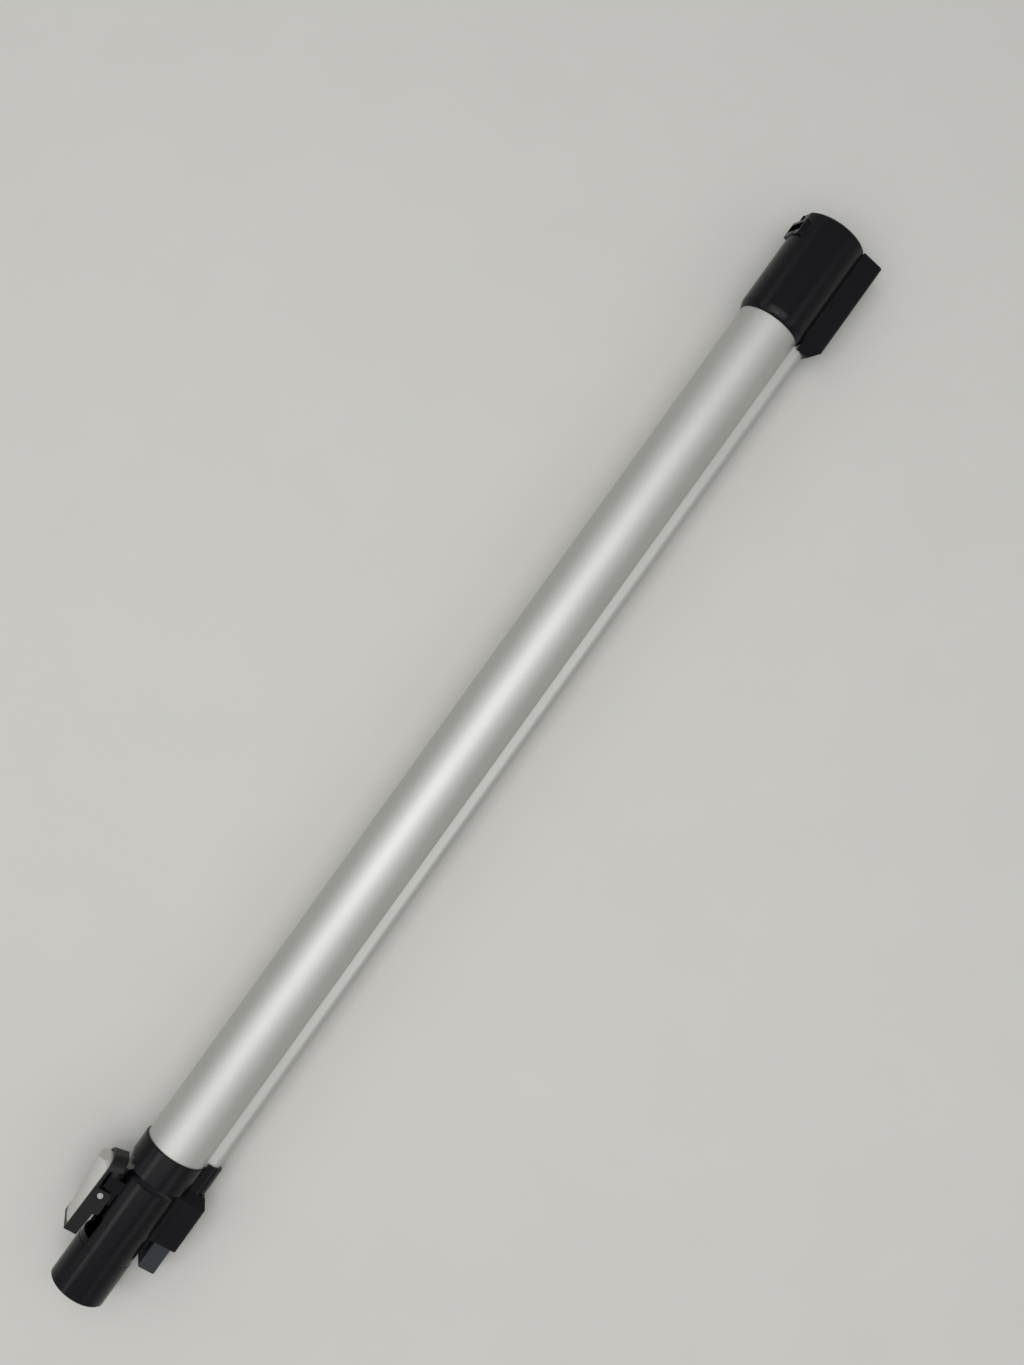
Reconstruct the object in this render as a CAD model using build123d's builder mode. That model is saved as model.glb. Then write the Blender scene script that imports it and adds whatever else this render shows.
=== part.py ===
from build123d import *
from math import asin, atan2, cos, degrees, hypot, radians, sin
import os

os.makedirs("parts", exist_ok=True)

# Driving dimensions, in millimetres and degrees.
# Tube: a round aluminium extrusion with a U-shaped wire channel along one side.
tube_r = 19.0
tube_wall = 1.1
tube_bare = 585.0
tube_fit = 0.05
channel_half = 4.6
channel_out = 27.6
channel_wall = 1.0

# Plug end: the spigot slides into the next wand's socket as far as the seat.
spigot_r = 17.55
spigot_length = 45.5
spigot_wall = 2.2
spigot_lead = 0.6
spigot_land = 26.4
spigot_relief = 0.25
plug_body_r = 18.0
plug_body_length = 27.5
shoulder_length = 4.8
plug_cuff_wall = 1.15
plug_tube_seat = 10.4
plug_mouth_round = 0.5

# Socket end.
socket_r = 21.4
socket_tube_seat = 17.0
socket_clearance = 0.15
socket_spare = 0.5
socket_lead = 0.8
socket_flare = 5.4
socket_flare_rise = 2.0
stop_width = 2.0
stop_step = 2.0
seal_width = 1.2

# Covers over the contacts, on the channel side.
cover_wall = 1.8
cover_round = 2.0
cover_end_round = 0.8
cover_fit = 0.05
plug_cover_out = 32.8
plug_cover_half = 11.1
plug_cover_gap = 1.6
plug_cover_length = 33.6
plug_cover_taper = 5.1
plug_cover_lip = 2.0
plug_lip_over = 2.4
plug_lip_round = 0.9
seam_out = 17.4
seam_width = 1.2
seam_depth = 0.5
socket_cover_out = 32.9
socket_cover_half = 12.0
socket_cover_over = 0.8
socket_cover_taper = 6.0
socket_cover_lip = 1.2
socket_lip_over = 0.5

# Contacts: two poles side by side, and the wires that join them through the channel.
pole_out = 25.4
pole_half = 3.6
tongue_in = 20.1
tongue_out = 30.6
tongue_half = 7.0
tongue_reach = 17.0
tongue_root = 8.5
tongue_round = 1.5
tongue_nose = 1.5
tongue_flange = 0.9
tongue_flange_length = 2.0
tongue_room = 0.6
contact_pin_r = 1.2
contact_pin_length = 22.0
contact_pin_tail = 3.0
contact_gap = 0.05
contact_entry = 0.2
sleeve_wall = 0.65
sleeve_tail = 1.5
block_length = 8.0
block_gap = 0.2
wire_r = 1.5
wire_out = 23.2
wire_half = 1.75
wire_bend_r = 14.0
wire_run_in = 2.0

# Latch: a lever on a pin above the spigot, with a hook that drops through the socket's window.
pin_from_seat = 10.1
pin_out = 23.0
pin_r = 1.85
pin_running_gap = 0.05
pin_press_gap = 0.01
pin_ring = 0.65
pin_ring_depth = 0.5
pin_proud = 0.15
pin_chamfer = 0.3
lever_reach = 15.0
lever_half = 10.6
lever_cheek = 1.2
lever_corner = 8.0
lever_rim = 28.5
lever_rim_front = 29.5
lever_rim_tail = 28.1
lever_floor = 27.7
lever_under = 26.9
lever_front_wall = 3.2
lever_front_low = 24.8
lever_edge = 0.35
tail_from_pin = 22.0
tail_lean = 1.5
tail_wall = 1.8
tail_low = 20.3
cheek_front_low = 21.6
cheek_low = 20.8
cheek_boss_low = 17.6
cheek_boss_front = 0.6
cheek_boss_back = 3.5
cheek_cut = 1.5
skirt_from_pin = 14.5
skirt_lean = 2.2
skirt_low = 19.8
paddle_inset = 1.0
paddle_gap = 0.05
paddle_rear_gap = 0.8
paddle_rear_length = 5.6
paddle_rear_mid = 1.4
paddle_rear_rise = 3.0
hook_from_front = 1.6
hook_half = 4.6
hook_tip = 19.6
hook_length = 4.6
hook_ramp = 2.3
hook_ramp_height = 3.0
latch_gap = 0.3
latch_travel = 7.5
# Crown of the paddle: distance behind the lever's front wall, edge above the rim, rise in the middle.
paddle_crown = [(0.05, 1.0, 0.7), (12.0, 0.6, 3.1), (24.0, 0.2, 4.9), (38.0, 0.0, 6.7), (48.0, 0.0, 6.9)]

# Seat of the latch on the plug collar.
pocket_lead = 0.5
pocket_half = 10.4
pocket_under = 6.6
saddle_r = 3.2
tower_from_pin = 5.2
tower_length = 7.1
tower_half = 10.0
tower_under = 2.0
recess_gap = 4.0
recess_bow = 20.0
recess_stop = 1.3

# Latch window and its raised pad on the socket collar.
pad_half = 9.2
pad_out = 21.9
pad_edge = 0.7
lip_width = 3.0
lip_half = 12.0
lip_r = 22.4
window_room = 0.4
window_half = 8.0
window_bar = 1.8
notch_half = 5.0
notch_depth = 1.4

# Locating key, screw posts, screws and spring.
key_length = 8.0
key_out = 19.9
key_half = 3.0
key_room = 0.3
post_r = 3.0
post_floor = 1.2
post_clear = 1.0
post_from_block = 8.0
post_from_sleeve = 2.0
boss_clear = 0.4
screw_r = 1.3
screw_head_r = 2.7
screw_head_height = 1.5
screw_head_round = 0.5
screw_gap = 0.02
screw_sink = 0.2
drive_width = 0.7
drive_span = 3.5
drive_depth = 0.9
spring_r = 1.9
spring_wire_r = 0.32
spring_turns = 6
spring_room = 0.4
spring_seat = 0.05
spring_floor_wall = 1.2

# Stations along the wand. The origin is where the spigot's full diameter starts.
seat_x = spigot_length - spigot_lead
shoulder_x = seat_x + plug_body_length
cuff_x = shoulder_x + shoulder_length
pin_x = seat_x + pin_from_seat
lever_front = seat_x - lever_reach
tail_rim_x = pin_x + tail_from_pin
tail_foot_x = tail_rim_x + tail_lean
recess_end = tail_foot_x + recess_gap
plug_stop = recess_end + recess_stop
tube_start = plug_stop + seal_width
plug_mouth = tube_start + plug_tube_seat
socket_start = plug_mouth + tube_bare
tube_end = socket_start + socket_tube_seat
stop_x = tube_end + seal_width
bore_depth = spigot_length + socket_spare
mouth_x = stop_x + stop_width + bore_depth
mated = mouth_x - seat_x

bore_r = spigot_r - spigot_wall
socket_bore_r = spigot_r + socket_clearance
tube_pocket_r = tube_r + tube_fit
plug_cuff_r = tube_pocket_r + plug_cuff_wall

# The wand lies on its round collars and on the lower corners of the two covers. It is rolled about its
# own axis until the socket's cover touches the ground that its collar rests on.
corner_out = socket_cover_out - cover_round
corner_half = socket_cover_half - cover_round
roll = asin((socket_r - cover_round) / hypot(corner_out, corner_half)) - atan2(corner_half, corner_out)

# Working planes of the rolled wand: X runs along it, local Y points to the latch, and the channel is at -Y.
wand = Plane.XY.rotated((degrees(roll), 0, 0))
to_latch = Axis((0, 0, 0), wand.y_dir)
to_top = Axis((0, 0, 0), wand.z_dir)


def across(x):
    """The section plane at a station: local X points to the latch, local Y to the wand's upper side."""
    return Plane(origin=(x, 0, 0), x_dir=wand.y_dir, z_dir=wand.x_dir)


def facing_latch(height):
    """A plane at a height above the axis on the latch side: local X runs along the wand."""
    return Plane(origin=wand.y_dir * height, x_dir=wand.x_dir, z_dir=wand.y_dir)


def channel_outline(half, out):
    """The U-shaped outline of the channel, from inside the round tube to its rounded outer end."""
    with BuildSketch(mode=Mode.PRIVATE) as outline:
        with Locations((-(out - half) / 2, 0)):
            Rectangle(out - half, 2 * half)
        with Locations((-(out - half), 0)):
            Circle(half)
    return outline.sketch


def plug_outline(gap):
    """The half profile of the plug collar, from the axis to its outside, grown by a gap."""
    land_r = spigot_r + gap
    relief_r = land_r - spigot_relief
    body_r = plug_body_r + gap
    cuff_r = plug_cuff_r + gap
    with BuildSketch(wand, mode=Mode.PRIVATE) as outline:
        with BuildLine():
            Polyline((-spigot_lead, 0), (-spigot_lead, land_r - spigot_lead), (0, land_r),
                     (spigot_land, land_r), (spigot_land + spigot_relief, relief_r), (seat_x, relief_r),
                     (seat_x, body_r), (shoulder_x, body_r))
            TangentArc((shoulder_x, body_r), (cuff_x, cuff_r), tangent=(1, 0))
            Polyline((cuff_x, cuff_r), (plug_mouth - plug_mouth_round, cuff_r),
                     (plug_mouth, cuff_r - plug_mouth_round), (plug_mouth, 0), (-spigot_lead, 0))
        make_face()
    return outline.sketch


def block(x_from, x_to, y_from, y_to, half):
    """A block in the wand's axes, centred on its middle plane."""
    with BuildPart(mode=Mode.PRIVATE) as solid:
        with BuildSketch(wand):
            with Locations(((x_from + x_to) / 2, (y_from + y_to) / 2)):
                Rectangle(x_to - x_from, y_to - y_from)
        extrude(amount=half, both=True)
    return solid.part


def upright(x, y_from, y_to, radius):
    """A round post or hole between two heights in the wand's axes, square to the cover's outer face."""
    with BuildPart(mode=Mode.PRIVATE) as post:
        with BuildSketch(facing_latch(y_from)):
            with Locations((x, 0)):
                Circle(radius)
        extrude(amount=y_to - y_from)
    return post.part


# Aluminium tube with its wire channel, extruded in one piece.
with BuildPart() as wand_tube:
    with BuildSketch(across(tube_start)):
        Circle(tube_r)
        add(channel_outline(channel_half, channel_out))
        Circle(tube_r - tube_wall, mode=Mode.SUBTRACT)
        with BuildSketch(mode=Mode.PRIVATE) as lumen:
            add(channel_outline(channel_half - channel_wall, channel_out - channel_wall))
            Circle(tube_r, mode=Mode.SUBTRACT)
        add(lumen.sketch, mode=Mode.SUBTRACT)
    extrude(amount=tube_end - tube_start)
wand_tube.part.label = "wand_tube"
export_step(wand_tube.part, "parts/wand_tube.step")

# Rubber rings between the tube's two ends and the collars.
seal_places = {"plug_seal": plug_stop, "socket_seal": tube_end}
for seal_name, seal_x in seal_places.items():
    with BuildPart() as seal:
        with BuildSketch(across(seal_x)):
            Circle(tube_r)
            Circle(tube_r - tube_wall, mode=Mode.SUBTRACT)
        extrude(amount=seal_width)
    seal.part.label = seal_name
    export_step(seal.part, f"parts/{seal_name}.step")

# Plug collar: the spigot, the cuff round the tube, the latch's saddle and the locating key, in one moulding.
hook_front = lever_front + hook_from_front
pocket_front = hook_front - pocket_lead
pocket_floor = hook_tip - pocket_under
saddle_half = lever_half - lever_cheek - latch_gap
tower_front = pin_x + tower_from_pin
tower_back = tower_front + tower_length
tower_top = lever_under - tower_under
plug_front = seat_x + plug_cover_gap
tongue_end = plug_front + cover_wall + tongue_root
sleeve_end = tongue_end + sleeve_tail
plug_post_x = sleeve_end + post_from_sleeve
post_top = pole_out - wire_r - post_clear
spring_x = (tower_front + tower_back) / 2
spring_floor = bore_r + spring_floor_wall
# The tail swings down into a flat recess, which clears its foot at the end of the latch's travel.
tail_drop = (tail_foot_x - pin_x) * sin(radians(latch_travel))
recess_floor = pin_out - (pin_out - tail_low) * cos(radians(latch_travel)) - tail_drop - latch_gap
with BuildPart() as plug_collar:
    add(plug_outline(0))
    revolve(axis=Axis.X)
    # Flat recess for the lever's tail, with a bowed end.
    with BuildSketch(facing_latch(recess_floor)):
        with Locations((recess_end - recess_bow, 0)):
            Circle(recess_bow)
        with Locations((tower_back, 0)):
            Rectangle(4 * recess_bow, 4 * recess_bow, align=(Align.MAX, Align.CENTER), mode=Mode.SUBTRACT)
    extrude(amount=plug_cuff_r, mode=Mode.SUBTRACT)
    # Saddle for the pin, and the tower behind it that holds the spring.
    with BuildSketch(wand):
        with Locations((pin_x, pin_out)):
            Circle(saddle_r)
        with Locations((pin_x, pin_out / 2)):
            Rectangle(2 * saddle_r, pin_out)
        with Locations(((pin_x + tower_front) / 2, pin_out / 2)):
            Rectangle(tower_front - pin_x, pin_out)
    extrude(amount=saddle_half, both=True)
    add(block(tower_front, tower_back, 0, tower_top, tower_half))
    # Locating key beside the tongue, and the post for the cover's screw.
    add(block(seat_x - key_length, seat_x, -key_out, 0, key_half))
    add(upright(plug_post_x, -post_top, 0, post_r))
    # Air path, with the tube's seat behind it.
    with BuildSketch(across(-spigot_lead)):
        Circle(bore_r)
    extrude(amount=plug_stop + spigot_lead, mode=Mode.SUBTRACT)
    with BuildSketch(across(plug_stop)):
        Circle(tube_pocket_r)
        add(channel_outline(channel_half + tube_fit, channel_out))
    extrude(amount=plug_mouth - plug_stop, mode=Mode.SUBTRACT)
    # Opening through the wall under the hook.
    add(block(pocket_front, seat_x, pocket_floor, plug_cuff_r, pocket_half), mode=Mode.SUBTRACT)
    # Holes for the pin, the spring and the screw.
    with BuildSketch(wand):
        with Locations((pin_x, pin_out)):
            Circle(pin_r + pin_press_gap)
    extrude(amount=saddle_half, both=True, mode=Mode.SUBTRACT)
    add(upright(spring_x, spring_floor, tower_top, spring_r + spring_wire_r + spring_room),
        mode=Mode.SUBTRACT)
    add(upright(plug_post_x, -post_top, -bore_r - post_floor, screw_r + screw_gap), mode=Mode.SUBTRACT)
plug_collar.part.label = "plug_collar"
export_step(plug_collar.part, "parts/plug_collar.step")

# Socket collar: flared seat for the tube, stop, bore for a spigot, and the latch's window in its raised pad.
window_front = mated + hook_front - window_room
window_back = mated + hook_front + hook_length + window_room
pad_front = window_front - lip_width
pad_back = window_back + window_bar
socket_post_x = mouth_x - tongue_reach - block_length - post_from_block
with BuildPart() as socket_collar:
    with BuildSketch(wand):
        with BuildLine():
            Polyline((socket_start, socket_r - socket_flare_rise), (socket_start, 0), (mouth_x, 0),
                     (mouth_x, socket_r - socket_lead), (mouth_x - socket_lead, socket_r),
                     (socket_start + socket_flare, socket_r))
            TangentArc((socket_start + socket_flare, socket_r), (socket_start, socket_r - socket_flare_rise),
                       tangent=(-1, 0))
        make_face()
    revolve(axis=Axis.X)
    # Raised pad on the latch side, with a curved lip in front of it.
    with BuildPart(mode=Mode.PRIVATE) as pad:
        add(block(pad_front, pad_back, 0, pad_out, pad_half))
        pad_top = pad.edges().filter_by(Axis.X).sort_by(to_latch)[-2:]
        fillet(pad_top, pad_edge)
    add(pad.part)
    with BuildPart(mode=Mode.PRIVATE) as lip:
        with BuildSketch(across(pad_front)):
            Circle(lip_r)
        extrude(amount=lip_width)
        chamfer(lip.edges().filter_by(GeomType.CIRCLE), pad_edge)
        add(block(pad_front, window_front, 0, lip_r, lip_half), mode=Mode.INTERSECT)
    add(lip.part)
    add(upright(socket_post_x, -post_top, 0, post_r))
    # Tube seat, stop and spigot bore.
    with BuildSketch(across(socket_start)):
        Circle(tube_pocket_r)
        add(channel_outline(channel_half + tube_fit, channel_out))
    extrude(amount=tube_end - socket_start, mode=Mode.SUBTRACT)
    with BuildSketch(across(tube_end)):
        Circle(tube_pocket_r)
    extrude(amount=seal_width, mode=Mode.SUBTRACT)
    with BuildSketch(across(stop_x)):
        Circle(socket_bore_r - stop_step)
    extrude(amount=stop_width, mode=Mode.SUBTRACT)
    with BuildSketch(across(stop_x + stop_width)):
        Circle(socket_bore_r)
    extrude(amount=bore_depth, mode=Mode.SUBTRACT)
    mouth_edges = socket_collar.faces().sort_by(Axis.X)[-1].edges().filter_by(GeomType.CIRCLE)
    chamfer(mouth_edges.sort_by(SortBy.RADIUS)[0], socket_lead)
    # Window for the hook, and the notch in front of the bar that the hook holds.
    add(block(window_front, window_back, 0, 2 * socket_r, window_half), mode=Mode.SUBTRACT)
    add(block(pad_back, mouth_x, socket_r - notch_depth, 2 * socket_r, notch_half), mode=Mode.SUBTRACT)
    # Room for the next wand's tongue and key, and the screw's hole.
    add(block(mouth_x - tongue_reach, mouth_x, -2 * socket_r, -tongue_in + tongue_room,
              tongue_half + tongue_room), mode=Mode.SUBTRACT)
    add(block(mouth_x - key_length - key_room, mouth_x, -socket_r, 0, key_half + key_room),
        mode=Mode.SUBTRACT)
    add(upright(socket_post_x, -post_top, -socket_bore_r - post_floor, screw_r + screw_gap),
        mode=Mode.SUBTRACT)
socket_collar.part.label = "socket_collar"
export_step(socket_collar.part, "parts/socket_collar.step")

# Covers: hollow mouldings over the contacts, tapered towards the tube, each with a lip round the channel.
plug_cover_end = plug_front + plug_cover_length
socket_cover_mouth = mouth_x + socket_cover_over
socket_cover_end = socket_start - socket_lip_over
boss_top = pole_out + wire_r + boss_clear


def cover_body(free_end, lip_end, taper, out, half, lip):
    """The outside of a cover: a box with rounded outer edges, tapered to its lip at the tube's end."""
    towards_tube = 1 if lip_end > free_end else -1
    taper_x = lip_end - towards_tube * taper
    lip_half = channel_half + lip
    lip_out = channel_out + lip
    with BuildPart(mode=Mode.PRIVATE) as body:
        with BuildSketch(wand):
            with BuildLine():
                Polyline((free_end, 0), (free_end, -out), (taper_x, -out), (lip_end, -lip_out), (lip_end, 0),
                         close=True)
            make_face()
        extrude(amount=half, both=True)
        fillet(body.edges().filter_by(Axis.X).sort_by(to_latch)[:2], cover_round)
        free_face = body.faces().sort_by(Axis.X)[0 if towards_tube > 0 else -1]
        fillet(free_face.edges().sort_by(to_latch)[:-1], cover_end_round)
        with BuildSketch(facing_latch(-out)):
            with BuildLine():
                Polyline((free_end, -half), (taper_x, -half), (lip_end, -lip_half), (lip_end, lip_half),
                         (taper_x, half), (free_end, half), close=True)
            make_face()
        extrude(amount=out, mode=Mode.INTERSECT)
    return body.part


# Plug cover, open in front for the tongue, with a seam groove beside the collar.
plug_taper_x = plug_cover_end - plug_cover_taper
plug_lip_end = plug_mouth + plug_lip_over
with BuildPart() as plug_cover:
    add(cover_body(plug_front, plug_cover_end, plug_cover_taper, plug_cover_out, plug_cover_half,
                   plug_cover_lip))
    with BuildPart(mode=Mode.PRIVATE) as plug_lip:
        with BuildSketch(across(plug_taper_x)):
            add(channel_outline(channel_half + plug_cover_lip, channel_out + plug_cover_lip))
        extrude(amount=plug_lip_end - plug_taper_x)
        fillet(plug_lip.faces().sort_by(Axis.X)[-1].edges().sort_by(to_latch)[:-1], plug_lip_round)
    add(plug_lip.part)
    add(block(plug_front + cover_wall, plug_taper_x, -plug_cover_out + cover_wall, 0,
              plug_cover_half - cover_wall), mode=Mode.SUBTRACT)
    add(upright(plug_post_x, -plug_cover_out + cover_wall, -boss_top, post_r))
    with BuildSketch(across(plug_taper_x - cover_wall)):
        add(channel_outline(channel_half + cover_fit, channel_out + cover_fit))
    extrude(amount=plug_lip_end - plug_taper_x + cover_wall, mode=Mode.SUBTRACT)
    add(plug_outline(cover_fit))
    revolve(axis=Axis.X, mode=Mode.SUBTRACT)
    with BuildSketch(across(plug_mouth - plug_mouth_round)):
        Circle(plug_cuff_r + cover_fit)
    extrude(amount=plug_lip_over + plug_mouth_round, mode=Mode.SUBTRACT)
    for side in (wand.offset(plug_cover_half - seam_depth), wand.offset(-plug_cover_half)):
        with BuildSketch(side):
            with Locations(((plug_front + plug_taper_x) / 2, -seam_out - seam_width / 2)):
                Rectangle(plug_taper_x - plug_front, seam_width)
        extrude(amount=seam_depth, mode=Mode.SUBTRACT)
    add(block(plug_front, plug_front + cover_wall, -tongue_out - contact_gap, -tongue_in + contact_gap,
              tongue_half + contact_gap), mode=Mode.SUBTRACT)
    add(upright(plug_post_x, -plug_cover_out, 0, screw_r + screw_gap), mode=Mode.SUBTRACT)
    add(upright(plug_post_x, -plug_cover_out, -plug_cover_out + screw_sink + screw_head_height,
                screw_head_r + screw_sink), mode=Mode.SUBTRACT)
plug_cover.part.label = "plug_cover"
export_step(plug_cover.part, "parts/plug_cover.step")

# Socket cover, open at the mouth for the next wand's tongue.
socket_taper_x = socket_cover_end + socket_cover_taper
with BuildPart() as socket_cover:
    add(cover_body(socket_cover_mouth, socket_cover_end, socket_cover_taper, socket_cover_out,
                   socket_cover_half, socket_cover_lip))
    add(block(socket_taper_x, socket_cover_mouth - cover_wall, -socket_cover_out + cover_wall, 0,
              socket_cover_half - cover_wall), mode=Mode.SUBTRACT)
    add(upright(socket_post_x, -socket_cover_out + cover_wall, -boss_top, post_r))
    with BuildSketch(across(socket_cover_end)):
        add(channel_outline(channel_half + cover_fit, channel_out + cover_fit))
    extrude(amount=socket_cover_taper + cover_wall, mode=Mode.SUBTRACT)
    with BuildSketch(across(socket_cover_end)):
        Circle(socket_r + cover_fit)
    extrude(amount=socket_cover_mouth - socket_cover_end, mode=Mode.SUBTRACT)
    add(block(socket_cover_mouth - cover_wall, socket_cover_mouth, -tongue_out - tongue_room, 0,
              tongue_half + tongue_room), mode=Mode.SUBTRACT)
    add(upright(socket_post_x, -socket_cover_out, 0, screw_r + screw_gap), mode=Mode.SUBTRACT)
    add(upright(socket_post_x, -socket_cover_out, -socket_cover_out + screw_sink + screw_head_height,
                screw_head_r + screw_sink), mode=Mode.SUBTRACT)
socket_cover.part.label = "socket_cover"
export_step(socket_cover.part, "parts/socket_cover.step")

# Self-tapping screws, sunk in the covers and driven into the collars' posts.
screw_places = {
    "plug_screw": (plug_post_x, plug_cover_out, bore_r),
    "socket_screw": (socket_post_x, socket_cover_out, socket_bore_r),
}
for screw_name, (screw_x, face_out, wall_in) in screw_places.items():
    head_out = face_out - screw_sink
    with BuildPart() as screw:
        add(upright(screw_x, -head_out, -head_out + screw_head_height, screw_head_r))
        fillet(screw.edges().filter_by(GeomType.CIRCLE).sort_by(to_latch)[0], screw_head_round)
        add(upright(screw_x, -head_out + screw_head_height, -wall_in - post_floor - screw_sink, screw_r))
        with BuildSketch(facing_latch(-head_out)):
            with Locations((screw_x, 0)):
                Rectangle(drive_span, drive_width)
                Rectangle(drive_width, drive_span)
        extrude(amount=drive_depth, mode=Mode.SUBTRACT)
    screw.part.label = screw_name
    export_step(screw.part, f"parts/{screw_name}.step")

# Tongue: the insulating plug that carries the two sleeves, trapped behind the cover's front wall.
tongue_tip = seat_x - tongue_reach
sleeve_r = contact_pin_r + contact_gap + sleeve_wall
poles = {"live": 1, "neutral": -1}
pole_places = [(-pole_out, side * pole_half) for side in poles.values()]
with BuildPart() as plug_tongue:
    add(block(tongue_tip, tongue_end, -tongue_out, -tongue_in, tongue_half))
    tip_edges = plug_tongue.faces().sort_by(Axis.X)[0].edges()
    fillet(tip_edges, tongue_round)
    add(block(plug_front + cover_wall, plug_front + cover_wall + tongue_flange_length, -tongue_out,
              -plug_body_r - cover_fit, tongue_half + tongue_flange))
    with BuildSketch(across(tongue_tip)):
        with Locations(*pole_places):
            Circle(contact_pin_r + contact_entry)
    extrude(amount=tongue_nose, mode=Mode.SUBTRACT)
    with BuildSketch(across(tongue_tip + tongue_nose)):
        with Locations(*pole_places):
            Circle(sleeve_r + screw_gap)
    extrude(amount=tongue_end - tongue_tip - tongue_nose, mode=Mode.SUBTRACT)
plug_tongue.part.label = "plug_tongue"
export_step(plug_tongue.part, "parts/plug_tongue.step")

# Insulating block in the socket cover that carries the two pins.
block_front = mouth_x - tongue_reach - block_gap
block_half = socket_cover_half - cover_wall - contact_gap
with BuildPart() as pin_block:
    add(block(block_front - block_length, block_front, -socket_cover_out + cover_wall + contact_gap,
              -socket_r - cover_fit, block_half))
    with BuildSketch(across(block_front - block_length)):
        with Locations(*pole_places):
            Circle(contact_pin_r + screw_gap)
    extrude(amount=block_length, mode=Mode.SUBTRACT)
pin_block.part.label = "pin_block"
export_step(pin_block.part, "parts/pin_block.step")

# Brass pins, brass sleeves and the insulated wires, one of each for each pole.
pin_start = block_front - block_length - contact_pin_tail
spread = hypot(pole_out - wire_out, pole_half - wire_half)
for pole, side in poles.items():
    with BuildPart() as contact_pin:
        with BuildSketch(across(pin_start)):
            with Locations((-pole_out, side * pole_half)):
                Circle(contact_pin_r)
        extrude(amount=contact_pin_length)
        fillet(contact_pin.edges().filter_by(GeomType.CIRCLE).sort_by(Axis.X)[-1], contact_pin_r / 2)
    contact_pin.part.label = f"pin_{pole}"
    export_step(contact_pin.part, f"parts/pin_{pole}.step")

    with BuildPart() as sleeve:
        with BuildSketch(across(tongue_tip + tongue_nose)):
            with Locations((-pole_out, side * pole_half)):
                Circle(sleeve_r)
                Circle(contact_pin_r + contact_gap, mode=Mode.SUBTRACT)
        extrude(amount=sleeve_end - tongue_tip - tongue_nose)
    sleeve.part.label = f"sleeve_{pole}"
    export_step(sleeve.part, f"parts/sleeve_{pole}.step")

    spread_dir = wand.y_dir * (wire_out - pole_out) + wand.z_dir * (side * (pole_half - wire_half))
    wire_origin = wand.y_dir * -wire_out + wand.z_dir * (side * wire_half)
    wire_plane = Plane(origin=wire_origin, x_dir=wand.x_dir, z_dir=wand.x_dir.cross(spread_dir))
    with BuildPart() as wire:
        with BuildLine(wire_plane) as route:
            FilletPolyline((sleeve_end, spread), (plug_post_x + post_r, spread),
                           (tube_start - wire_run_in, 0), (tube_end + wire_run_in, 0),
                           (socket_post_x - post_r, spread), (pin_start, spread), radius=wire_bend_r)
        with BuildSketch(Plane(origin=route.line @ 0, z_dir=route.line % 0)):
            Circle(wire_r)
        sweep(path=route.line)
    wire.part.label = f"wire_{pole}"
    export_step(wire.part, f"parts/wire_{pole}.step")

# Steel pivot pin of the latch, pressed into the saddle.
with BuildPart() as latch_pin:
    with BuildSketch(wand):
        with Locations((pin_x, pin_out)):
            Circle(pin_r)
    extrude(amount=lever_half + pin_proud, both=True)
    chamfer(latch_pin.edges().filter_by(GeomType.CIRCLE), pin_chamfer)
latch_pin.part.label = "latch_pin"
export_step(latch_pin.part, "parts/latch_pin.step")

# Compression spring in the tower, which lifts the lever's tail and so holds the hook down.
spring_height = lever_under - spring_floor - 2 * spring_wire_r - 2 * spring_seat
with BuildPart() as latch_spring:
    spring_foot = wand.x_dir * spring_x + wand.y_dir * (spring_floor + spring_wire_r + spring_seat)
    with BuildLine() as coil:
        Helix(pitch=spring_height / spring_turns, height=spring_height, radius=spring_r, center=spring_foot,
              direction=wand.y_dir)
    with BuildSketch(Plane(origin=coil.line @ 0, z_dir=coil.line % 0)):
        Circle(spring_wire_r)
    sweep(path=coil.line, is_frenet=True)
latch_spring.part.label = "latch_spring"
export_step(latch_spring.part, "parts/latch_spring.step")

# Latch lever: a tray with two cheeks on the pin, a hook under its front and a rounded tail.
boss_front = seat_x + cheek_boss_front
cheek_back = pin_x + cheek_boss_back
skirt_front = pin_x + skirt_from_pin
hollow_end = tail_rim_x - tail_wall
paddle_front = lever_front + lever_front_wall
paddle_half = lever_half - paddle_inset


def rounded_plan(x_from, x_to, half, corner):
    """A plan outline in the lever's tray: square in front, with rounded corners behind."""
    with BuildSketch(mode=Mode.PRIVATE) as plan:
        with Locations(((x_from + x_to) / 2, 0)):
            Rectangle(x_to - x_from, 2 * half)
        fillet(plan.vertices().group_by(Axis.X)[-1], corner)
    return plan.sketch


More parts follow.
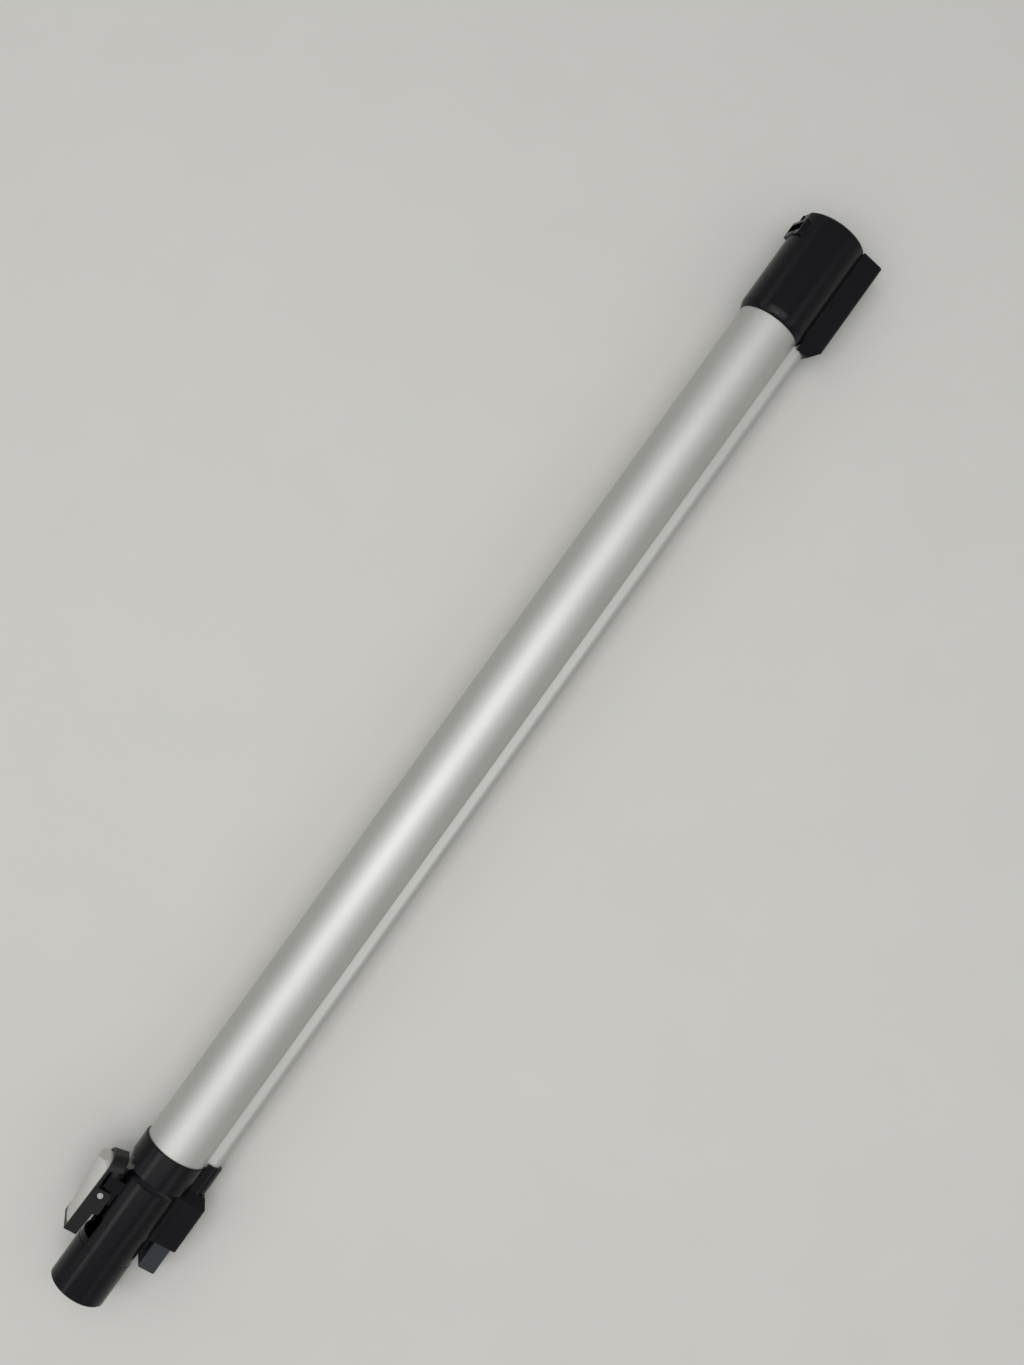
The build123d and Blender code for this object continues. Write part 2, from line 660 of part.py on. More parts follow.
with BuildPart() as latch_lever:
    # Rounded tail, which leans forward towards the rim.
    for height in (0, 2 * lever_rim):
        rear_x = tail_foot_x - tail_lean * (height - tail_low) / (lever_rim_tail - tail_low)
        with BuildSketch(facing_latch(height)):
            add(rounded_plan(lever_front - lever_reach, rear_x, lever_half, lever_corner))
    loft()
    # Cheeks, cut to their side view.
    with BuildSketch(wand):
        with BuildLine():
            Polyline((lever_front, lever_rim_front), (lever_front, cheek_front_low),
                     (boss_front - cheek_cut, cheek_low), (boss_front, cheek_boss_low),
                     (cheek_back - cheek_cut, cheek_boss_low), (cheek_back, cheek_boss_low + cheek_cut),
                     (cheek_back, lever_under), (skirt_front, lever_under),
                     (skirt_front + skirt_lean, skirt_low), (tail_foot_x + tail_lean, tail_low),
                     (tail_foot_x + tail_lean, lever_rim_tail), (skirt_front, lever_rim), close=True)
        make_face()
    extrude(amount=2 * lever_half, both=True, mode=Mode.INTERSECT)
    rim_faces = latch_lever.faces().sort_by(to_latch)[-2:]
    fillet(rim_faces.edges().filter_by(to_top, reverse=True), lever_edge)
    # Hollow between the cheeks, with the front wall left above the socket's pad.
    with BuildSketch(facing_latch(0)):
        add(rounded_plan(paddle_front, hollow_end, lever_half - lever_cheek, lever_corner - lever_cheek))
    extrude(amount=lever_under, mode=Mode.SUBTRACT)
    add(block(lever_front, paddle_front, 0, lever_front_low, lever_half - lever_cheek), mode=Mode.SUBTRACT)
    # Recess for the paddle.
    with BuildSketch(facing_latch(lever_floor)):
        add(rounded_plan(paddle_front, hollow_end, paddle_half, lever_corner - paddle_inset))
    extrude(amount=lever_rim_front, mode=Mode.SUBTRACT)
    # Hook with its lead-in ramp.
    with BuildSketch(wand):
        with BuildLine():
            Polyline((hook_front, lever_under), (hook_front, hook_tip + hook_ramp_height),
                     (hook_front + hook_ramp, hook_tip), (hook_front + hook_length, hook_tip),
                     (hook_front + hook_length, lever_under), close=True)
        make_face()
    extrude(amount=hook_half, both=True)
    # Holes for the pin, each with a shallow ring round it.
    with BuildSketch(wand):
        with Locations((pin_x, pin_out)):
            Circle(pin_r + pin_running_gap)
    extrude(amount=lever_half, both=True, mode=Mode.SUBTRACT)
    with BuildSketch(wand.offset(lever_half - pin_ring_depth), wand.offset(-lever_half)):
        with Locations((pin_x, pin_out)):
            Circle(pin_r + pin_ring)
    extrude(amount=pin_ring_depth, mode=Mode.SUBTRACT)
latch_lever.part.label = "latch_lever"
export_step(latch_lever.part, "parts/latch_lever.step")

# Paddle: the thumb pad set in the lever's tray, crowned across and rising towards its rear.
paddle_end = hollow_end - paddle_rear_gap
paddle_rear_x = paddle_end - paddle_rear_length
paddle_top = lever_rim + max(rise for _, _, rise in paddle_crown)
with BuildPart() as latch_paddle:
    for along, edge, rise in paddle_crown:
        edge_height = lever_rim + edge
        with BuildSketch(across(paddle_front + along)):
            with BuildLine():
                Polyline((edge_height, -paddle_half), (lever_floor, -paddle_half),
                         (lever_floor, paddle_half), (edge_height, paddle_half))
                ThreePointArc((edge_height, paddle_half), (edge_height + rise, 0),
                              (edge_height, -paddle_half))
            make_face()
    loft()
    with BuildSketch(facing_latch(lever_floor)):
        add(rounded_plan(paddle_front + paddle_gap, paddle_end, paddle_half - paddle_gap,
                         lever_corner - paddle_inset))
    extrude(amount=lever_rim, mode=Mode.INTERSECT)
    # Rounded fall at its rear.
    with BuildSketch(wand):
        with BuildLine():
            Polyline((paddle_end, lever_rim), (paddle_end, lever_floor), (paddle_front, lever_floor),
                     (paddle_front, paddle_top), (paddle_rear_x, paddle_top))
            Spline((paddle_rear_x, paddle_top), (paddle_end - paddle_rear_mid, lever_rim + paddle_rear_rise),
                   (paddle_end, lever_rim), tangents=((1, 0), (0, -1)))
        make_face()
    extrude(amount=lever_half, both=True, mode=Mode.INTERSECT)
latch_paddle.part.label = "latch_paddle"
export_step(latch_paddle.part, "parts/latch_paddle.step")
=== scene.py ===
import bpy
from math import cos, radians, sin
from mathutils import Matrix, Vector


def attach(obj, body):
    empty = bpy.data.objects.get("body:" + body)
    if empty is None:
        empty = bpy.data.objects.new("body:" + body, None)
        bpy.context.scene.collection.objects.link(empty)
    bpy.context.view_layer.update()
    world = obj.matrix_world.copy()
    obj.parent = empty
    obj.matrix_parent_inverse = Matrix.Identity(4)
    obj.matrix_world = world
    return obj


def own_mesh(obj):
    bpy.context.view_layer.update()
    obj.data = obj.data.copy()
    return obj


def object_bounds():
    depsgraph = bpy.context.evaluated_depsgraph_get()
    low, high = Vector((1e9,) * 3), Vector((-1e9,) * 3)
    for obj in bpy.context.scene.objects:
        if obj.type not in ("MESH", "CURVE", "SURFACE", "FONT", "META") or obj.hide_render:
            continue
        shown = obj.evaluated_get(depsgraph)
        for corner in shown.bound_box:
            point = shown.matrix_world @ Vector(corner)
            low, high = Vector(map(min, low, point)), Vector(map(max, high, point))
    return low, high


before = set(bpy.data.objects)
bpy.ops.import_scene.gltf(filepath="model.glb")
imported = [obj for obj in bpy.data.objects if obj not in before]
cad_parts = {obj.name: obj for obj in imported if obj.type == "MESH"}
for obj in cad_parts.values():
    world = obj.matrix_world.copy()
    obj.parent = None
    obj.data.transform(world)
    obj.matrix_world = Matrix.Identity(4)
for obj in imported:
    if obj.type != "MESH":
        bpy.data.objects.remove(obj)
cad_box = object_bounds()

# Wand tube: a round aluminium tube with a wire channel along one side, extruded in one piece.
# It is cut to length, brushed lightly along its length and anodised to an even satin.


def linear(hex_colour):
    """An sRGB hex colour as linear red, green, blue and alpha."""
    channels = [int(hex_colour[i:i + 2], 16) / 255 for i in (1, 3, 5)]
    return [c / 12.92 if c <= 0.04045 else ((c + 0.055) / 1.055) ** 2.4 for c in channels] + [1.0]


def add_node(material, kind, inputs=None, **settings):
    """Add a shader node with its settings; an input is a value or another node's output."""
    tree = material.node_tree
    added = tree.nodes.new(kind)
    for setting, value in settings.items():
        setattr(added, setting, value)
    for socket, value in (inputs or {}).items():
        if isinstance(value, bpy.types.NodeSocket):
            tree.links.new(value, added.inputs[socket])
        else:
            added.inputs[socket].default_value = value
    return added


def start_material(name):
    """An empty node material of that name."""
    material = bpy.data.materials.new(name)
    material.use_nodes = True
    material.node_tree.nodes.clear()
    return material


def dress(material, *names):
    """Give the named CAD pieces one material."""
    for name in names:
        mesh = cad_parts[name].data
        mesh.materials.clear()
        mesh.materials.append(material)


# Satin anodised aluminium: a pale, nearly neutral metal whose brushed lines blur the lamp into one broad
# soft band. The lines are drawn at 0.35 mm, several times coarser than real ones, so that they show.
mm = 0.001
brush_line = 0.35 * mm
brush_length = 90 * mm
cloud = 35 * mm
satin = start_material("satin_anodised_aluminium")
place = add_node(satin, "ShaderNodeTexCoord")
stretch = add_node(satin, "ShaderNodeMapping", {
    "Vector": place.outputs["Object"], "Scale": (1 / brush_length, 1 / brush_line, 1 / brush_line)})
lines = add_node(satin, "ShaderNodeTexNoise", {
    "Vector": stretch.outputs["Vector"], "Scale": 1.0, "Detail": 2.0})
clouds = add_node(satin, "ShaderNodeTexNoise", {
    "Vector": place.outputs["Object"], "Scale": 1 / cloud, "Detail": 3.0})
tint = add_node(satin, "ShaderNodeMix", {
    "Factor": clouds.outputs["Fac"], "A": linear("#BEBEBB"), "B": linear("#C5C5C2")}, data_type="RGBA")
haze = add_node(satin, "ShaderNodeMapRange", {
    "Value": lines.outputs["Fac"], "To Min": 0.48, "To Max": 0.58})
relief = add_node(satin, "ShaderNodeBump", {
    "Height": lines.outputs["Fac"], "Strength": 0.06, "Distance": 0.05 * mm})
shader = add_node(satin, "ShaderNodeBsdfPrincipled", {
    "Base Color": tint.outputs["Result"], "Metallic": 1.0, "Roughness": haze.outputs["Result"],
    "Normal": relief.outputs["Normal"]})
add_node(satin, "ShaderNodeOutputMaterial", {"Surface": shader.outputs["BSDF"]})
dress(satin, "wand_tube")

# Seals: flat rings of black rubber that close the tube's two ends against the collars.
# They are cut from moulded sheet, so they stay dull, with a fine talc-like bloom.
bloom_grain = 0.4 * mm
rubber = start_material("black_seal_rubber")
place = add_node(rubber, "ShaderNodeTexCoord")
bloom = add_node(rubber, "ShaderNodeTexNoise", {
    "Vector": place.outputs["Object"], "Scale": 1 / bloom_grain, "Detail": 3.0})
tint = add_node(rubber, "ShaderNodeMix", {
    "Factor": bloom.outputs["Fac"], "A": linear("#131313"), "B": linear("#232322")}, data_type="RGBA")
haze = add_node(rubber, "ShaderNodeMapRange", {
    "Value": bloom.outputs["Fac"], "To Min": 0.55, "To Max": 0.75})
relief = add_node(rubber, "ShaderNodeBump", {
    "Height": bloom.outputs["Fac"], "Strength": 0.2, "Distance": 0.05 * mm})
shader = add_node(rubber, "ShaderNodeBsdfPrincipled", {
    "Base Color": tint.outputs["Result"], "Roughness": haze.outputs["Result"], "IOR": 1.52,
    "Normal": relief.outputs["Normal"]})
add_node(rubber, "ShaderNodeOutputMaterial", {"Surface": shader.outputs["BSDF"]})
dress(rubber, "plug_seal", "socket_seal")

# Plug collar: the spigot, cuff and latch seat, injection moulded in one piece of black ABS.
# It is glued on the tube, and its spigot is rubbed along its length by the sockets it has been pushed into.

# Black moulded ABS: deep black under a soft gloss. The skin waves very slightly over the thick ribs, has
# the faint grain of the polished steel tool, and its edges are rounded by a quarter of a millimetre.
sink_span = 9 * mm
tool_grain = 0.3 * mm
edge_round = 0.25 * mm
rub_line = 0.4 * mm
rub_length = 14 * mm
spigot_end = 45 * mm
rub_fade = 6 * mm
rubbed_abs = start_material("black_moulded_abs_rubbed")
black_abs = start_material("black_moulded_abs")
for material in (rubbed_abs, black_abs):
    place = add_node(material, "ShaderNodeTexCoord")
    sinks = add_node(material, "ShaderNodeTexNoise", {
        "Vector": place.outputs["Object"], "Scale": 1 / sink_span, "Detail": 1.0})
    grain = add_node(material, "ShaderNodeTexNoise", {
        "Vector": place.outputs["Object"], "Scale": 1 / tool_grain, "Detail": 2.0})
    haze = add_node(material, "ShaderNodeMapRange", {
        "Value": grain.outputs["Fac"], "To Min": 0.18, "To Max": 0.26})
    gloss = haze.outputs["Result"]
    if material is rubbed_abs:
        stretch = add_node(material, "ShaderNodeMapping", {
            "Vector": place.outputs["Object"], "Scale": (1 / rub_length, 1 / rub_line, 1 / rub_line)})
        rubs = add_node(material, "ShaderNodeTexNoise", {
            "Vector": stretch.outputs["Vector"], "Scale": 1.0, "Detail": 3.0})
        marks = add_node(material, "ShaderNodeMapRange", {
            "Value": rubs.outputs["Fac"], "From Min": 0.52, "From Max": 0.72,
            "To Min": 0.0, "To Max": 0.16})
        along = add_node(material, "ShaderNodeSeparateXYZ", {"Vector": place.outputs["Object"]})
        on_spigot = add_node(material, "ShaderNodeMapRange", {
            "Value": along.outputs["X"], "From Min": spigot_end, "From Max": spigot_end - rub_fade})
        worn = add_node(material, "ShaderNodeMath", {
            0: marks.outputs["Result"], 1: on_spigot.outputs["Result"]}, operation="MULTIPLY")
        duller = add_node(material, "ShaderNodeMath", {0: gloss, 1: worn.outputs["Value"]}, operation="ADD")
        gloss = duller.outputs["Value"]
    corner = add_node(material, "ShaderNodeBevel", {"Radius": edge_round}, samples=4)
    wave = add_node(material, "ShaderNodeBump", {
        "Height": sinks.outputs["Fac"], "Strength": 0.25, "Distance": 0.12 * mm,
        "Normal": corner.outputs["Normal"]})
    relief = add_node(material, "ShaderNodeBump", {
        "Height": grain.outputs["Fac"], "Strength": 0.05, "Distance": 0.03 * mm,
        "Normal": wave.outputs["Normal"]})
    shader = add_node(material, "ShaderNodeBsdfPrincipled", {
        "Base Color": linear("#07080C"), "Roughness": gloss, "Specular IOR Level": 0.2,
        "Normal": relief.outputs["Normal"]})
    add_node(material, "ShaderNodeOutputMaterial", {"Surface": shader.outputs["BSDF"]})
dress(rubbed_abs, "plug_collar")

# Socket collar: the flared seat, bore and latch window at the other end, moulded in the same black ABS.
# It is glued on the tube; the pad round its window is raised to guide the next wand's hook.
dress(black_abs, "socket_collar")

# Contact pins and sleeves: turned from brass rod and left bare.
# A pair of each joins the next wand's wires; the pins slide in the sleeves and keep them clean.

# Turned brass: warm yellow metal with rings from the lathe along the rod, drawn every 1.6 mm so that they
# show, and a faint brown tarnish in soft patches. The wave node turns 20 radians in a unit of its scale.
wave_radians = 20
ring_radian = 0.25 * mm
tarnish_patch = 3 * mm
brass = start_material("turned_brass")
place = add_node(brass, "ShaderNodeTexCoord")
rings = add_node(brass, "ShaderNodeTexWave", {
    "Vector": place.outputs["Object"], "Scale": 1 / (wave_radians * ring_radian),
    "Distortion": 0.3, "Detail": 1.0}, bands_direction="X")
patches = add_node(brass, "ShaderNodeTexNoise", {
    "Vector": place.outputs["Object"], "Scale": 1 / tarnish_patch, "Detail": 4.0})
tint = add_node(brass, "ShaderNodeMix", {
    "Factor": patches.outputs["Fac"], "A": linear("#B98F4A"), "B": linear("#E2C27C")}, data_type="RGBA")
haze = add_node(brass, "ShaderNodeMapRange", {
    "Value": patches.outputs["Fac"], "To Min": 0.34, "To Max": 0.2})
relief = add_node(brass, "ShaderNodeBump", {
    "Height": rings.outputs["Fac"], "Strength": 0.15, "Distance": 0.02 * mm})
shader = add_node(brass, "ShaderNodeBsdfPrincipled", {
    "Base Color": tint.outputs["Result"], "Metallic": 1.0, "Roughness": haze.outputs["Result"],
    "Normal": relief.outputs["Normal"]})
add_node(brass, "ShaderNodeOutputMaterial", {"Surface": shader.outputs["BSDF"]})
dress(brass, "pin_live", "pin_neutral", "sleeve_live", "sleeve_neutral")

# Contact tongue and pin block: the insulators that hold the sleeves and the pins.
# They are moulded in slate grey nylon and trapped in the covers.

# Slate moulded nylon: a blue-grey plastic with a satin skin from a spark-eroded tool, so it shows a fine
# even grain of about 0.3 mm and no sharp lamp image.
spark_grain = 0.3 * mm
tint_drift = 5 * mm
slate = start_material("slate_moulded_nylon")
place = add_node(slate, "ShaderNodeTexCoord")
grain = add_node(slate, "ShaderNodeTexVoronoi", {
    "Vector": place.outputs["Object"], "Scale": 1 / spark_grain})
drift = add_node(slate, "ShaderNodeTexNoise", {
    "Vector": place.outputs["Object"], "Scale": 1 / tint_drift, "Detail": 2.0})
tint = add_node(slate, "ShaderNodeMix", {
    "Factor": drift.outputs["Fac"], "A": linear("#25292E"), "B": linear("#2D3137")}, data_type="RGBA")
haze = add_node(slate, "ShaderNodeMapRange", {
    "Value": grain.outputs["Distance"], "To Min": 0.38, "To Max": 0.52})
corner = add_node(slate, "ShaderNodeBevel", {"Radius": edge_round}, samples=4)
relief = add_node(slate, "ShaderNodeBump", {
    "Height": grain.outputs["Distance"], "Strength": 0.12, "Distance": 0.04 * mm,
    "Normal": corner.outputs["Normal"]})
shader = add_node(slate, "ShaderNodeBsdfPrincipled", {
    "Base Color": tint.outputs["Result"], "Roughness": haze.outputs["Result"], "Specular IOR Level": 0.3,
    "Normal": relief.outputs["Normal"]})
add_node(slate, "ShaderNodeOutputMaterial", {"Surface": shader.outputs["BSDF"]})
dress(slate, "plug_tongue", "pin_block")

# Wires: two insulated copper wires through the channel, soldered to the sleeves and the pins.
# Their PVC is extruded over the copper and takes a soft, slightly lengthwise sheen.
pull_line = 0.6 * mm
pull_length = 8 * mm
pvc = start_material("extruded_wire_pvc")
place = add_node(pvc, "ShaderNodeTexCoord")
stretch = add_node(pvc, "ShaderNodeMapping", {
    "Vector": place.outputs["Object"], "Scale": (1 / pull_length, 1 / pull_line, 1 / pull_line)})
pulls = add_node(pvc, "ShaderNodeTexNoise", {
    "Vector": stretch.outputs["Vector"], "Scale": 1.0, "Detail": 2.0})
tint = add_node(pvc, "ShaderNodeMix", {
    "Factor": pulls.outputs["Fac"], "A": linear("#38383A"), "B": linear("#444446")}, data_type="RGBA")
haze = add_node(pvc, "ShaderNodeMapRange", {
    "Value": pulls.outputs["Fac"], "To Min": 0.4, "To Max": 0.55})
relief = add_node(pvc, "ShaderNodeBump", {
    "Height": pulls.outputs["Fac"], "Strength": 0.15, "Distance": 0.05 * mm})
shader = add_node(pvc, "ShaderNodeBsdfPrincipled", {
    "Base Color": tint.outputs["Result"], "Roughness": haze.outputs["Result"], "IOR": 1.53,
    "Normal": relief.outputs["Normal"]})
add_node(pvc, "ShaderNodeOutputMaterial", {"Surface": shader.outputs["BSDF"]})
dress(pvc, "wire_live", "wire_neutral")

# Contact covers: hollow boxes of the same black ABS over the contacts on the channel's side.
# Each fits round its collar and the channel, and one screw holds it from outside.
dress(black_abs, "plug_cover", "socket_cover")

# Seam beads: a half-round bead on each side of the plug's cover, moulded with it in black ABS.
# They lie along the joint with the collar and hide its uneven gap.
wand_roll = radians(18.746)
bead_r = 0.45 * mm
bead_from = 47.0 * mm
bead_to = 72.0 * mm
bead_out = 15.6 * mm
bead_half = 11.1 * mm
bead_station = (bead_from + bead_to) / 2
bead_crease = radians(40)
to_channel = Vector((0.0, -cos(wand_roll), -sin(wand_roll)))
to_top = Vector((0.0, -sin(wand_roll), cos(wand_roll)))
for bead_name, side in (("seam_bead_upper", 1), ("seam_bead_lower", -1)):
    bpy.ops.object.select_all(action="DESELECT")
    bead_middle = Vector((bead_station, 0.0, 0.0)) + to_channel * bead_out + to_top * bead_half * side
    bpy.ops.mesh.primitive_cylinder_add(
        radius=bead_r, depth=bead_to - bead_from, location=bead_middle, rotation=(0.0, radians(90), 0.0))
    bead = bpy.context.object
    bead.name = bead_name
    bpy.ops.object.transform_apply(location=True, rotation=True, scale=True)
    bpy.ops.object.shade_smooth_by_angle(angle=bead_crease)
    bead.data.materials.append(black_abs)
    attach(bead, "wand")

# Screws: cross-headed self-tapping screws, cold headed from steel wire.
# They are zinc plated, which leaves a pale, slightly blue and cloudy shine.
plate_cloud = 1.2 * mm
zinc = start_material("zinc_plated_steel")
place = add_node(zinc, "ShaderNodeTexCoord")
plating = add_node(zinc, "ShaderNodeTexNoise", {
    "Vector": place.outputs["Object"], "Scale": 1 / plate_cloud, "Detail": 4.0})
tint = add_node(zinc, "ShaderNodeMix", {
    "Factor": plating.outputs["Fac"], "A": linear("#A9AEB4"), "B": linear("#CBCDCE")}, data_type="RGBA")
haze = add_node(zinc, "ShaderNodeMapRange", {
    "Value": plating.outputs["Fac"], "To Min": 0.38, "To Max": 0.24})
shader = add_node(zinc, "ShaderNodeBsdfPrincipled", {
    "Base Color": tint.outputs["Result"], "Metallic": 1.0, "Roughness": haze.outputs["Result"]})
add_node(zinc, "ShaderNodeOutputMaterial", {"Surface": shader.outputs["BSDF"]})
dress(zinc, "plug_screw", "socket_screw")

# Latch pin: a short steel rod, ground bright and pressed through the collar's saddle.
# Its cut ends show beside the lever's cheeks, faced on a lathe.
face_scratch = 0.3 * mm
ground_steel = start_material("bright_ground_steel")
place = add_node(ground_steel, "ShaderNodeTexCoord")
scratches = add_node(ground_steel, "ShaderNodeTexNoise", {
    "Vector": place.outputs["Object"], "Scale": 1 / face_scratch, "Detail": 3.0})
tint = add_node(ground_steel, "ShaderNodeMix", {
    "Factor": scratches.outputs["Fac"], "A": linear("#C2C4C6"), "B": linear("#DADBDB")}, data_type="RGBA")
haze = add_node(ground_steel, "ShaderNodeMapRange", {
    "Value": scratches.outputs["Fac"], "To Min": 0.16, "To Max": 0.3})
shader = add_node(ground_steel, "ShaderNodeBsdfPrincipled", {
    "Base Color": tint.outputs["Result"], "Metallic": 1.0, "Roughness": haze.outputs["Result"]})
add_node(ground_steel, "ShaderNodeOutputMaterial", {"Surface": shader.outputs["BSDF"]})
dress(ground_steel, "latch_pin")

# Latch spring: hard steel wire, cold drawn and coiled, which leaves a grey shine with a trace of oil.
# It stands on the floor of the tower under the lever's tail, and shortens by about a sixth as the tail
# goes down.
oil_patch = 0.8 * mm
spring_steel = start_material("drawn_spring_steel")
place = add_node(spring_steel, "ShaderNodeTexCoord")
oil = add_node(spring_steel, "ShaderNodeTexNoise", {
    "Vector": place.outputs["Object"], "Scale": 1 / oil_patch, "Detail": 2.0})
tint = add_node(spring_steel, "ShaderNodeMix", {
    "Factor": oil.outputs["Fac"], "A": linear("#6F7072"), "B": linear("#A3A4A5")}, data_type="RGBA")
haze = add_node(spring_steel, "ShaderNodeMapRange", {
    "Value": oil.outputs["Fac"], "To Min": 0.22, "To Max": 0.4})
shader = add_node(spring_steel, "ShaderNodeBsdfPrincipled", {
    "Base Color": tint.outputs["Result"], "Metallic": 1.0, "Roughness": haze.outputs["Result"]})
add_node(spring_steel, "ShaderNodeOutputMaterial", {"Surface": shader.outputs["BSDF"]})
dress(spring_steel, "latch_spring")
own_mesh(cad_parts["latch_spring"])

# Latch lever: the tray with two cheeks and the hook, which rocks on the pin.
# It is moulded in black glass-filled nylon for strength, with a duller skin than the collars.

# Black moulded nylon: a dark grey-black with a satin sheen. Short glass fibres near the skin give it a fine
# uneven grain along the flow, drawn at 0.35 by 1.5 mm.
fibre_width = 0.35 * mm
fibre_length = 1.5 * mm
nylon = start_material("black_glass_filled_nylon")
place = add_node(nylon, "ShaderNodeTexCoord")
stretch = add_node(nylon, "ShaderNodeMapping", {
    "Vector": place.outputs["Object"], "Scale": (1 / fibre_length, 1 / fibre_width, 1 / fibre_width)})
fibres = add_node(nylon, "ShaderNodeTexNoise", {
    "Vector": stretch.outputs["Vector"], "Scale": 1.0, "Detail": 3.0})
tint = add_node(nylon, "ShaderNodeMix", {
    "Factor": fibres.outputs["Fac"], "A": linear("#0F0F0F"), "B": linear("#181818")}, data_type="RGBA")
haze = add_node(nylon, "ShaderNodeMapRange", {
    "Value": fibres.outputs["Fac"], "To Min": 0.34, "To Max": 0.5})
corner = add_node(nylon, "ShaderNodeBevel", {"Radius": edge_round}, samples=4)
relief = add_node(nylon, "ShaderNodeBump", {
    "Height": fibres.outputs["Fac"], "Strength": 0.1, "Distance": 0.04 * mm,
    "Normal": corner.outputs["Normal"]})
shader = add_node(nylon, "ShaderNodeBsdfPrincipled", {
    "Base Color": tint.outputs["Result"], "Roughness": haze.outputs["Result"], "Specular IOR Level": 0.25,
    "Normal": relief.outputs["Normal"]})
add_node(nylon, "ShaderNodeOutputMaterial", {"Surface": shader.outputs["BSDF"]})
dress(nylon, "latch_lever")

# Latch paddle: the thumb pad, moulded in light grey ABS and pressed into the lever's tray.
# Its eroded skin is polished a little, in patches, by thumbs.

# Grey moulded ABS: a neutral light grey with a grain of about 0.4 mm, so its sheen is broad and soft.
# The polished patches, about 9 mm across, are a little smoother and darker.
pad_grain = 0.4 * mm
thumb_patch = 9 * mm
pad_edge = 0.5 * mm
grey_abs = start_material("grey_moulded_abs")
place = add_node(grey_abs, "ShaderNodeTexCoord")
grain = add_node(grey_abs, "ShaderNodeTexNoise", {
    "Vector": place.outputs["Object"], "Scale": 1 / pad_grain, "Detail": 3.0})
thumbs = add_node(grey_abs, "ShaderNodeTexNoise", {
    "Vector": place.outputs["Object"], "Scale": 1 / thumb_patch, "Detail": 2.0})
tint = add_node(grey_abs, "ShaderNodeMix", {
    "Factor": thumbs.outputs["Fac"], "A": linear("#ACABA7"), "B": linear("#B4B3AF")}, data_type="RGBA")
haze = add_node(grey_abs, "ShaderNodeMapRange", {
    "Value": thumbs.outputs["Fac"], "To Min": 0.38, "To Max": 0.52})
corner = add_node(grey_abs, "ShaderNodeBevel", {"Radius": pad_edge}, samples=4)
relief = add_node(grey_abs, "ShaderNodeBump", {
    "Height": grain.outputs["Fac"], "Strength": 0.12, "Distance": 0.05 * mm,
    "Normal": corner.outputs["Normal"]})
shader = add_node(grey_abs, "ShaderNodeBsdfPrincipled", {
    "Base Color": tint.outputs["Result"], "Roughness": haze.outputs["Result"], "IOR": 1.52,
    "Normal": relief.outputs["Normal"]})
add_node(grey_abs, "ShaderNodeOutputMaterial", {"Surface": shader.outputs["BSDF"]})
dress(grey_abs, "latch_paddle")

# Floor: a plain sheet of pale grey board under the wand.
# It is matt, with a faint unevenness from its fibres.
bpy.ops.object.select_all(action="DESELECT")
floor_height = cad_box[0].z
floor_side = 8.0
floor_middle = 0.4
board_cloud = 60 * mm
bpy.ops.mesh.primitive_plane_add(size=floor_side, location=(floor_middle, 0.0, floor_height))
floor = bpy.context.object
floor.name = "floor"
board = start_material("pale_board")
place = add_node(board, "ShaderNodeTexCoord")
fibres = add_node(board, "ShaderNodeTexNoise", {
    "Vector": place.outputs["Object"], "Scale": 1 / board_cloud, "Detail": 4.0})
tint = add_node(board, "ShaderNodeMix", {
    "Factor": fibres.outputs["Fac"], "A": linear("#C4C3BF"), "B": linear("#C8C7C3")}, data_type="RGBA")
shader = add_node(board, "ShaderNodeBsdfPrincipled", {
    "Base Color": tint.outputs["Result"], "Roughness": 0.9, "Specular IOR Level": 0.1})
add_node(board, "ShaderNodeOutputMaterial", {"Surface": shader.outputs["BSDF"]})
floor.data.materials.append(board)

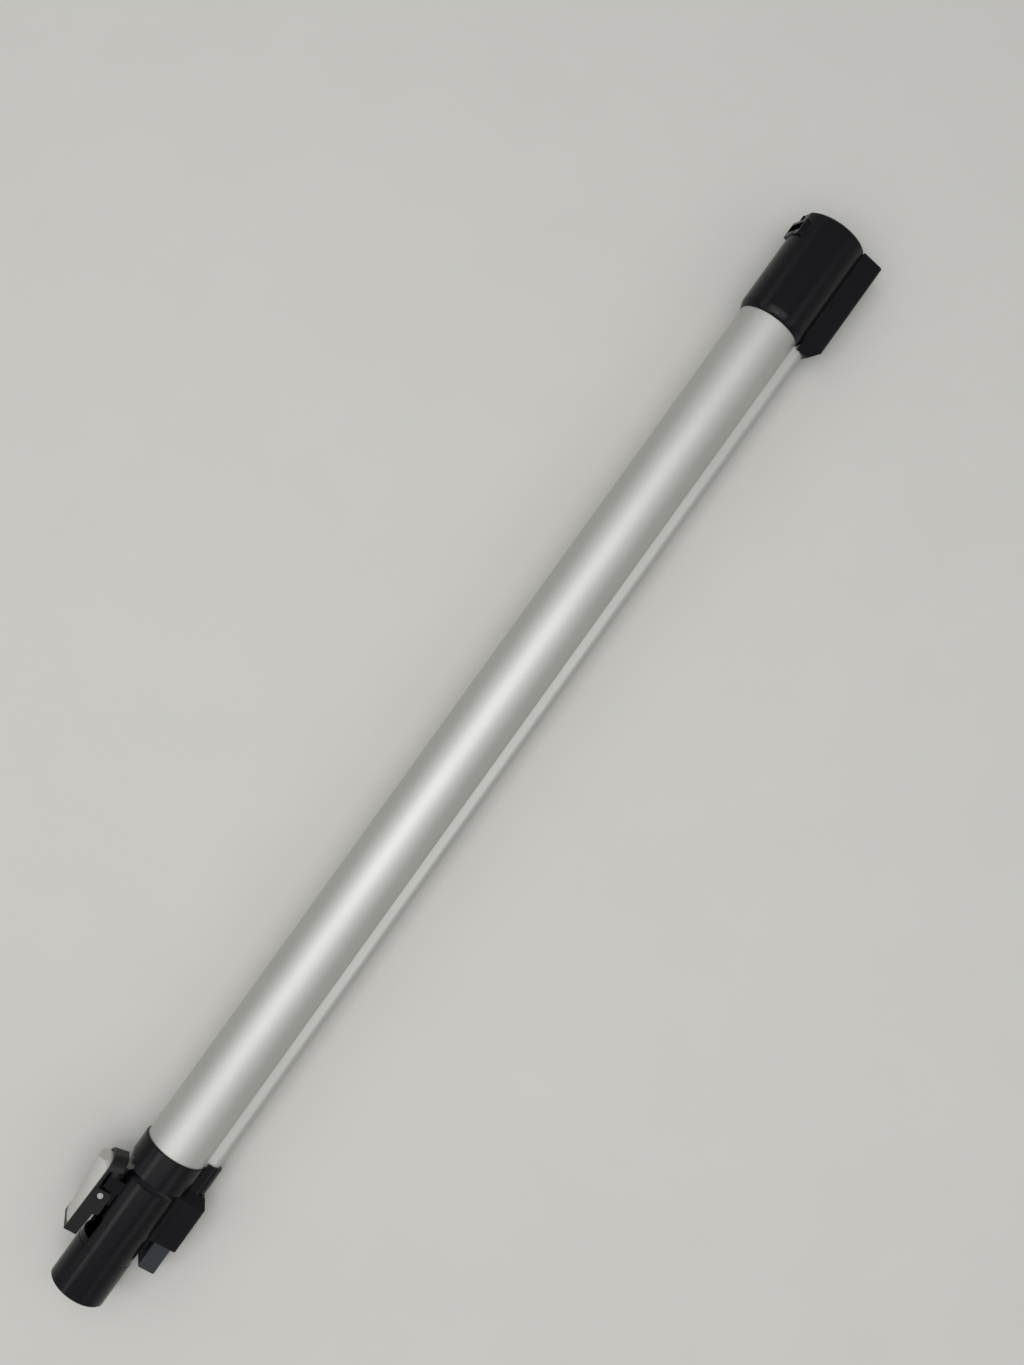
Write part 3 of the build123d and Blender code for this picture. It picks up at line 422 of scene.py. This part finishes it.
# Light: a soft box as wide as a ceiling, which black plastic shows as one broad dim sheen. A long box on
# each side lights the tube's flanks, a small one the plug's end, a bulb puts bright marks on the round
# shoulders, and a dim room fills the rest.
room_strength = 0.44
scene = bpy.context.scene
world = bpy.data.worlds.new("dim_room")
world.use_nodes = True
world.node_tree.nodes["Background"].inputs["Color"].default_value = (1, 1, 1, 1)
world.node_tree.nodes["Background"].inputs["Strength"].default_value = room_strength
scene.world = world


def soft_box(name, place, aim, sides, power):
    """A soft box with two side lengths at a place, turned to a point of the wand."""
    lamp = bpy.data.lights.new(name, "AREA")
    lamp.shape = "RECTANGLE"
    lamp.size, lamp.size_y = sides
    lamp.energy = power
    box = bpy.data.objects.new(name, lamp)
    scene.collection.objects.link(box)
    box.location = place
    box.rotation_euler = (Vector(aim) - Vector(place)).to_track_quat("-Z", "Y").to_euler()
    box.visible_camera = False


soft_box("ceiling_box", place=(0.28, 0.02, 1.45), aim=(0.28, 0.02, 0.0), sides=(1.5, 1.7), power=13)
soft_box("channel_side_box", place=(0.30, -1.60, 1.20), aim=(0.35, 0.0, 0.0), sides=(2.4, 0.7), power=3.5)
soft_box("latch_side_box", place=(0.30, 1.60, 1.20), aim=(0.35, 0.0, 0.0), sides=(2.4, 0.7), power=3.5)
soft_box("plug_side_box", place=(-0.60, 0.80, 1.40), aim=(0.10, 0.0, 0.0), sides=(0.4, 0.4), power=1.2)
soft_box("bulb_box", place=(0.15, 0.08, 1.40), aim=(0.25, 0.0, 0.0), sides=(0.12, 0.12), power=0.9)

# Camera: almost straight above the wand, turned so that the wand runs up the picture from left to right.
focal_pixels = 1392.6
picture_height = 1365
camera_data = bpy.data.cameras.new("camera")
camera_data.sensor_width = 36.0
camera_data.lens = focal_pixels / picture_height * camera_data.sensor_width
camera = bpy.data.objects.new("camera", camera_data)
scene.collection.objects.link(camera)
camera.location = (0.3962, -0.0246, 0.8070)
camera.rotation_euler = (radians(2.586), radians(0.289), radians(-54.26))
scene.camera = camera
scene.view_settings.view_transform = "Standard"
